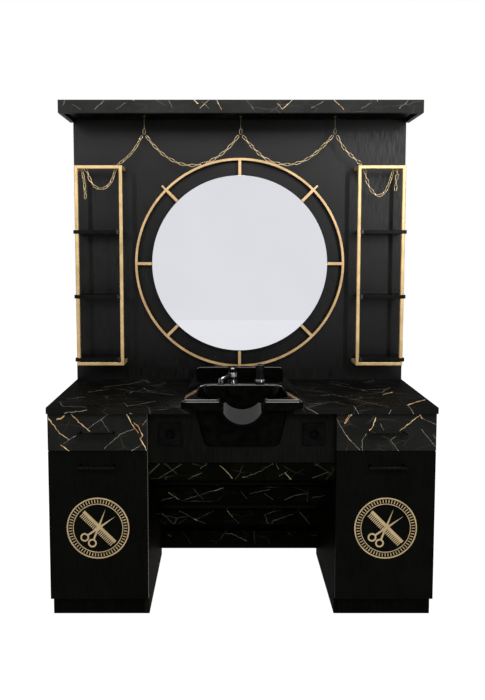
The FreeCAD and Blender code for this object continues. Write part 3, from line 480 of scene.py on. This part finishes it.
LEFT_DRAWER_THIN = on_plane(Y_DRAWER, [
    (2.4, (-0.667, 0.710), (-0.630, 0.730)),
    (2.2, (-0.667, 0.710), (-0.690, 0.693)),
    (2.2, (-0.594, 0.752), (-0.511, 0.812)),
    (2.2, (-0.543, 0.788), (-0.513, 0.743)),
    (2.2, (-0.418, 0.752), (-0.470, 0.730), (-0.532, 0.674)),
    (2.6, (-0.385, 0.691), (-0.428, 0.665)),
    (2.0, (-0.384, 0.765), (-0.368, 0.785)),
])
LEFT_DRAWER_BOLD = on_plane(Y_DRAWER, [
    (6.5, (-0.713, 0.788), (-0.700, 0.792), (-0.684, 0.801)),
    (5.5, (-0.748, 0.794), (-0.738, 0.784), (-0.729, 0.769)),
    (3.0, (-0.729, 0.769), (-0.702, 0.734), (-0.667, 0.710)),
    (3.8, (-0.661, 0.812), (-0.624, 0.775), (-0.588, 0.743)),
    (4.8, (-0.700, 0.689), (-0.665, 0.663)),
    (4.5, (-0.445, 0.812), (-0.424, 0.769), (-0.399, 0.736)),
    (4.0, (-0.416, 0.777), (-0.399, 0.760), (-0.383, 0.726), (-0.393, 0.713)),
    (4.5, (-0.393, 0.713), (-0.378, 0.687), (-0.368, 0.667)),
])
RIGHT_DRAWER_THIN = on_plane(Y_DRAWER, [
    (3.0, (0.368, 0.784), (0.401, 0.726), (0.455, 0.669)),
    (2.6, (0.480, 0.732), (0.463, 0.708), (0.466, 0.665)),
    (2.2, (0.690, 0.795), (0.748, 0.769)),
    (1.8, (0.532, 0.773), (0.547, 0.747)),
    (2.6, (0.594, 0.723), (0.574, 0.708), (0.607, 0.663)),
    (1.8, (0.690, 0.752), (0.748, 0.680)),
    (2.2, (0.738, 0.730), (0.749, 0.708)),
])
RIGHT_DRAWER_BOLD = on_plane(Y_DRAWER, [
    (6.0, (0.422, 0.810), (0.408, 0.790), (0.395, 0.773)),
    (4.0, (0.412, 0.806), (0.399, 0.786)),
    (4.5, (0.515, 0.795), (0.501, 0.756), (0.491, 0.745)),
    (3.2, (0.686, 0.806), (0.648, 0.777), (0.609, 0.745)),
    (5.0, (0.686, 0.806), (0.692, 0.794)),
    (2.6, (0.401, 0.726), (0.420, 0.704)),
])
CANOPY_THIN = on_plane(Y_CANOPY, [
    (3.0, (-0.567, 2.056), (-0.607, 2.021)),
    (2.2, (-0.701, 2.041), (-0.664, 2.021)),
    (2.2, (-0.478, 2.048), (-0.518, 2.021)),
    (2.4, (-0.299, 2.056), (-0.285, 2.029)),
    (2.2, (-0.161, 2.052), (-0.133, 2.025)),
    (2.4, (0.026, 2.056), (0.054, 2.019)),
    (2.4, (0.342, 2.052), (0.293, 2.025)),
    (2.0, (0.541, 2.048), (0.500, 2.022)),
    (3.0, (0.695, 2.056), (0.658, 2.024)),
    (2.0, (-0.740, 2.034), (-0.728, 2.058)),
])
CANOPY_BOLD = on_plane(Y_CANOPY, [
    (4.0, (-0.453, 2.060), (-0.443, 2.056)),
    (6.0, (-0.194, 2.058), (-0.179, 2.045)),
    (2.8, (-0.133, 2.058), (-0.170, 2.025)),
    (3.2, (-0.101, 2.060), (-0.080, 2.019)),
    (3.2, (0.152, 2.045), (0.172, 2.021), (0.216, 2.060)),
    (3.4, (0.385, 2.060), (0.427, 2.021)),
    (3.5, (0.562, 2.060), (0.566, 2.052)),
])
SLATS_THIN = (
    on_plane(SLAT_YS[0], [
        (2.4, (-0.234, 0.606), (-0.324, 0.551)), (2.6, (-0.134, 0.608), (-0.161, 0.590)),
        (2.8, (-0.155, 0.574), (-0.207, 0.548)), (2.6, (0.122, 0.608), (0.060, 0.572), (0.008, 0.552)),
        (2.4, (0.133, 0.606), (0.144, 0.587)), (2.2, (0.179, 0.578), (0.147, 0.560)),
        (2.0, (0.337, 0.575), (0.277, 0.551)),
    ])
    + on_plane(SLAT_YS[1], [
        (3.0, (-0.329, 0.402), (-0.274, 0.416), (-0.253, 0.405)),
        (3.2, (-0.230, 0.406), (-0.161, 0.427), (-0.072, 0.456)), (2.2, (-0.196, 0.450), (-0.158, 0.407)),
        (2.8, (0.038, 0.430), (0.079, 0.441), (0.119, 0.447)), (2.0, (-0.002, 0.442), (0.024, 0.410)),
        (2.0, (0.096, 0.433), (0.134, 0.405)), (2.8, (0.183, 0.403), (0.223, 0.422), (0.281, 0.433)),
        (2.0, (0.298, 0.413), (0.350, 0.422)),
    ])
    + on_plane(SLAT_YS[2], [
        (2.8, (-0.344, 0.280), (-0.292, 0.231)), (3.0, (-0.268, 0.292), (-0.198, 0.253), (-0.155, 0.234)),
        (2.2, (-0.198, 0.250), (-0.115, 0.292)), (2.6, (-0.035, 0.266), (-0.005, 0.234)),
        (2.4, (0.105, 0.269), (0.154, 0.292)), (2.4, (0.112, 0.266), (0.121, 0.237)),
        (2.2, (0.142, 0.244), (0.234, 0.276)), (3.0, (0.259, 0.292), (0.307, 0.231)),
    ])
    + on_plane(SLAT_YS[3], [
        (3.4, (-0.060, 0.116), (-0.034, 0.115), (0.034, 0.082)), (2.4, (-0.335, 0.112), (-0.318, 0.103)),
        (2.4, (0.225, 0.122), (0.240, 0.112)),
    ])
)
SLATS_BOLD = (
    on_plane(SLAT_YS[0], [
        (3.6, (-0.085, 0.600), (-0.066, 0.584), (-0.036, 0.551)), (4.0, (0.004, 0.553), (0.010, 0.555)),
        (3.6, (0.169, 0.572), (0.193, 0.546)),
    ])
    + on_plane(SLAT_YS[1], [
        (3.0, (-0.300, 0.436), (-0.262, 0.408)), (2.6, (-0.112, 0.442), (-0.072, 0.456)),
    ])
    + on_plane(SLAT_YS[2], [
        (4.0, (-0.057, 0.292), (-0.035, 0.266)), (3.0, (-0.204, 0.256), (-0.190, 0.248)),
    ])
)
COUNTER_Z, COUNTER_FRONT_Y = 0.840, -0.250


def on_counter(rows):
    """Rows of (width, (x, y), (x, y), ...) on the countertop."""
    return [(row[0], [(x, y, COUNTER_Z) for x, y in row[1:]]) for row in rows]


def down_the_front(x):
    """A streak that runs down the countertop's front edge."""
    return (3.0, [(x, COUNTER_FRONT_Y, COUNTER_Z), (x + 0.015, COUNTER_FRONT_Y, COUNTER_Z - 0.025)])


COUNTER_BOLD = on_counter([
    (7.0, (0.735, -0.130), (0.690, -0.165), (0.640, -0.215)),
    (5.0, (0.640, 0.000), (0.590, -0.040)),
])
COUNTER_THIN = on_counter([
    (2.6, (-0.600, 0.090), (-0.500, 0.150), (-0.420, 0.235)),
    (2.6, (-0.640, 0.000), (-0.560, 0.060)),
    (3.0, (-0.700, -0.120), (-0.640, -0.080)),
    (3.0, (-0.720, -0.160), (-0.690, -0.230), (-0.600, -0.240)),
    (3.0, (-0.420, 0.080), (-0.390, 0.020), (-0.360, 0.030)),
    (2.6, (-0.460, -0.180), (-0.440, -0.230), (-0.340, -0.150)),
    (3.0, (0.260, -0.200), (0.310, -0.180)),
    (2.6, (0.330, -0.060), (0.380, -0.040), (0.560, -0.240)),
    (2.6, (0.400, 0.170), (0.520, 0.040), (0.540, 0.010)),
    (3.0, (0.520, 0.040), (0.640, 0.060)),
    (3.0, (0.560, 0.190), (0.620, 0.230)),
]) + [down_the_front(0.430), down_the_front(0.640)]

# The nodes with a finish of their own, several of them lit and shaded copies of one laminate; every other
# node takes its slot's finish.
FRAME_METAL = metal("frame_metal", (164, 138, 95), (186, 159, 112), (0.30, 0.40), metallic=0.5)
NODE_MATERIALS = {
    # The left drawer front has a painted highlight on its +X edge.
    "left_drawer_front": marble("marble_left_drawer", LEFT_DRAWER_THIN, LEFT_DRAWER_BOLD, net=0.3,
                                black=(16, 23), specular=0.01, paint_side_highlight=True),
    "right_drawer_front": marble("marble_right_drawer", RIGHT_DRAWER_THIN, RIGHT_DRAWER_BOLD,
                                 net=0.3, black=(16, 23), specular=0.01),
    # Doors: black painted lighter than the slot's black_board, as painted light; the left one has a
    # painted highlight on its +X edge.
    "left_door": black_board("left_door_board", (4, 4, 3), (7, 7, 6), paint_side_highlight=True),
    "right_door": black_board("right_door_board", (4, 4, 3), (7, 7, 6)),
    # Inner sides: a painted warm floor reflection, strong on the lit left one and weak on the shaded
    # right one.
    "left_inner_side": inner_side_board("left_inner_side", (10, 8, 5), (16, 13, 8)),
    "right_inner_side": inner_side_board("right_inner_side", (2, 2, 1), (5, 5, 3)),
    # Fascia and shelf boards: black painted lighter than the slot's black_board, as painted light.
    "centre_fascia": black_board("fascia_board", (6, 6, 5), (12, 12, 10)),
    "shelf_boards": black_board("shelf_board", (6, 6, 6), (12, 12, 11), 0.05, (0.28, 0.36)),
    "shelf_clips": metal("clip_metal", (44, 44, 46), (62, 62, 64), (0.30, 0.42)),
    "left_shelf_frame": FRAME_METAL,
    "right_shelf_frame": FRAME_METAL,
    "chain_hooks": metal("hook_metal", (112, 102, 80), (140, 128, 102), (0.30, 0.42)),
    "power_sockets": plastic("socket_plastic", (4, 4, 4), (7, 7, 7), (0.20, 0.30), specular=0.006),
    # Canopy front: marble black painted lighter, as painted light from above.
    "canopy_front": marble("marble_canopy", CANOPY_THIN, CANOPY_BOLD, net=0.45, black=(24, 34),
                           specular=0.04),
    # Soffit: marble black painted near-black, as painted shade.
    "canopy_soffit": marble("marble_soffit", net=0.8, black=(2, 5), specular=0.02),
    # Slats: marble black painted near-black and streaks painted faint, as painted shade under the
    # counter.
    "footwell_slats": marble("marble_slats", SLATS_THIN, SLATS_BOLD, net=0.3, black=(2, 5),
                             specular=0.002, veins=0.34),
    "countertop": marble("marble_counter", COUNTER_THIN, COUNTER_BOLD, net=0.8, black=(8, 16),
                         specular=0.03),
    "back_panel": black_board("panel_board", (1, 1, 1), (7, 7, 6), 0.18, (0.33, 0.52)),
}
SLOT_MATERIALS = {
    "marble_laminate": marble("marble_plain"),
    "black_board": black_board("black_board", (2, 2, 1), (5, 5, 4), 0.004),
    "cabinet_inside": black_board("cabinet_inside", (24, 24, 24), (33, 33, 32), 0.2),
    "black_metal": plastic("black_metal", (1, 1, 1), (3, 3, 3), (0.22, 0.30), specular=0.06),
    "gold_metal": metal("gold_metal", (160, 131, 92), (180, 150, 108), (0.34, 0.44), metallic=0.5),
    "gold_badge": metal("gold_badge", (134, 116, 84), (156, 137, 101), (0.40, 0.50), metallic=0.4),
    "gold_chain": metal("gold_chain", (182, 160, 120), (218, 196, 154), (0.22, 0.32), metallic=0.8),
    "mirror": mirror_finish(),
    "basin": basin_finish(),
    "chrome": metal("chrome", (188, 190, 194), (210, 211, 214), (0.06, 0.12)),
    "black_fitting": plastic("black_fitting", (8, 8, 8), (12, 12, 12), (0.18, 0.28), specular=0.10),
    "zinc": metal("zinc", (120, 122, 124), (150, 152, 154), (0.35, 0.50)),
    "pipe_plastic": plastic("pipe_plastic", (176, 176, 172), (192, 192, 188), (0.40, 0.50)),
}
slot_of = {name: obj.material_slots[0].material.name.split(".")[0] for name, obj in nodes.items()}
for name, obj in nodes.items():
    obj.material_slots[0].material = NODE_MATERIALS.get(name) or SLOT_MATERIALS[slot_of[name]]
for chain in chains:
    chain.data.materials.append(SLOT_MATERIALS["gold_chain"])


# ---------------------------------------------------------------- softened edges
def soften_edges(name, width):
    """Round a board's or a tube's edges slightly so that they catch the light."""
    obj = nodes[name]
    weld = obj.modifiers.new("weld", "WELD")
    weld.merge_threshold = 0.00005
    bevel = obj.modifiers.new("bevel", "BEVEL")
    bevel.width = width
    bevel.segments = 3
    bevel.limit_method = "ANGLE"
    bevel.angle_limit = math.radians(40)
    bevel.harden_normals = True


for side in ("left", "right"):
    soften_edges(side + "_shelf_frame", 0.0035)
    soften_edges(side + "_drawer_handle", 0.0008)
    soften_edges(side + "_door_handle", 0.0008)
    soften_edges(side + "_door", 0.001)
    soften_edges(side + "_drawer_front", 0.001)
for name in ("countertop", "shelf_boards", "shelf_clips", "canopy_front", "footwell_slats"):
    soften_edges(name, 0.0012)


# ---------------------------------------------------------------- floor and light
def add_floor():
    """A white floor with a glow of its own, so that no shadow shows on it."""
    mesh = bpy.data.meshes.new("floor")
    reach = 9.0
    corners = [(-reach, -reach, 0), (reach, -reach, 0), (reach, reach, 0), (-reach, reach, 0)]
    mesh.from_pydata(corners, [], [(0, 1, 2, 3)])
    floor = add_object("floor", mesh)
    f = Finish("floor", Specular_IOR_Level=0.0, Emission_Color=(1, 1, 1, 1), Emission_Strength=0.96)
    place = f.place()
    f.colour(f.mix(f.noise(place, 2.0), (0.10, 0.10, 0.10, 1), (0.13, 0.13, 0.13, 1)))
    f.roughness(f.ranged(f.noise(place, 30.0), 0.3, 0.7, 0.55, 0.65))
    mesh.materials.append(f.material)


def add_light(name, location, target, size, power):
    """A rectangular lamp of a size in metres and a power in watts, turned to its target."""
    data = bpy.data.lights.new(name, "AREA")
    data.shape = "RECTANGLE"
    data.size, data.size_y = size
    data.energy = power
    light = add_object(name, data)
    light.location = location
    light.rotation_euler = (Vector(target) - Vector(location)).to_track_quat("-Z", "Y").to_euler()


def add_world():
    """White all round, but dim where it would be smeared into a rough surface's gloss."""
    world = bpy.data.worlds.new("studio")
    scene.world = world
    world.use_nodes = True
    tree = world.node_tree
    background = tree.nodes["Background"]
    background.inputs["Color"].default_value = (1, 1, 1, 1)
    ray = tree.nodes.new("ShaderNodeLightPath")
    smeared = tree.nodes.new("ShaderNodeMath")
    smeared.operation = "SUBTRACT"
    smeared.use_clamp = True
    tree.links.new(ray.outputs["Is Glossy Ray"], smeared.inputs[0])
    tree.links.new(ray.outputs["Is Singular Ray"], smeared.inputs[1])
    strength = tree.nodes.new("ShaderNodeMapRange")
    strength.inputs["To Min"].default_value = 1.0
    strength.inputs["To Max"].default_value = 0.12
    tree.links.new(smeared.outputs["Value"], strength.inputs["Value"])
    tree.links.new(strength.outputs["Result"], background.inputs["Strength"])


add_floor()
add_light("key", (0.5, -2.6, 3.0), (0, 0.2, 1.9), (3.2, 1.2), 90)
add_light("strip_right", (1.5, -2.4, 2.0), (0, 0, 0.9), (0.06, 1.2), 30)
add_light("strip_left", (-1.7, -2.2, 2.3), (0, 0, 0.9), (0.06, 1.2), 22)
add_world()
scene.view_settings.view_transform = "Standard"
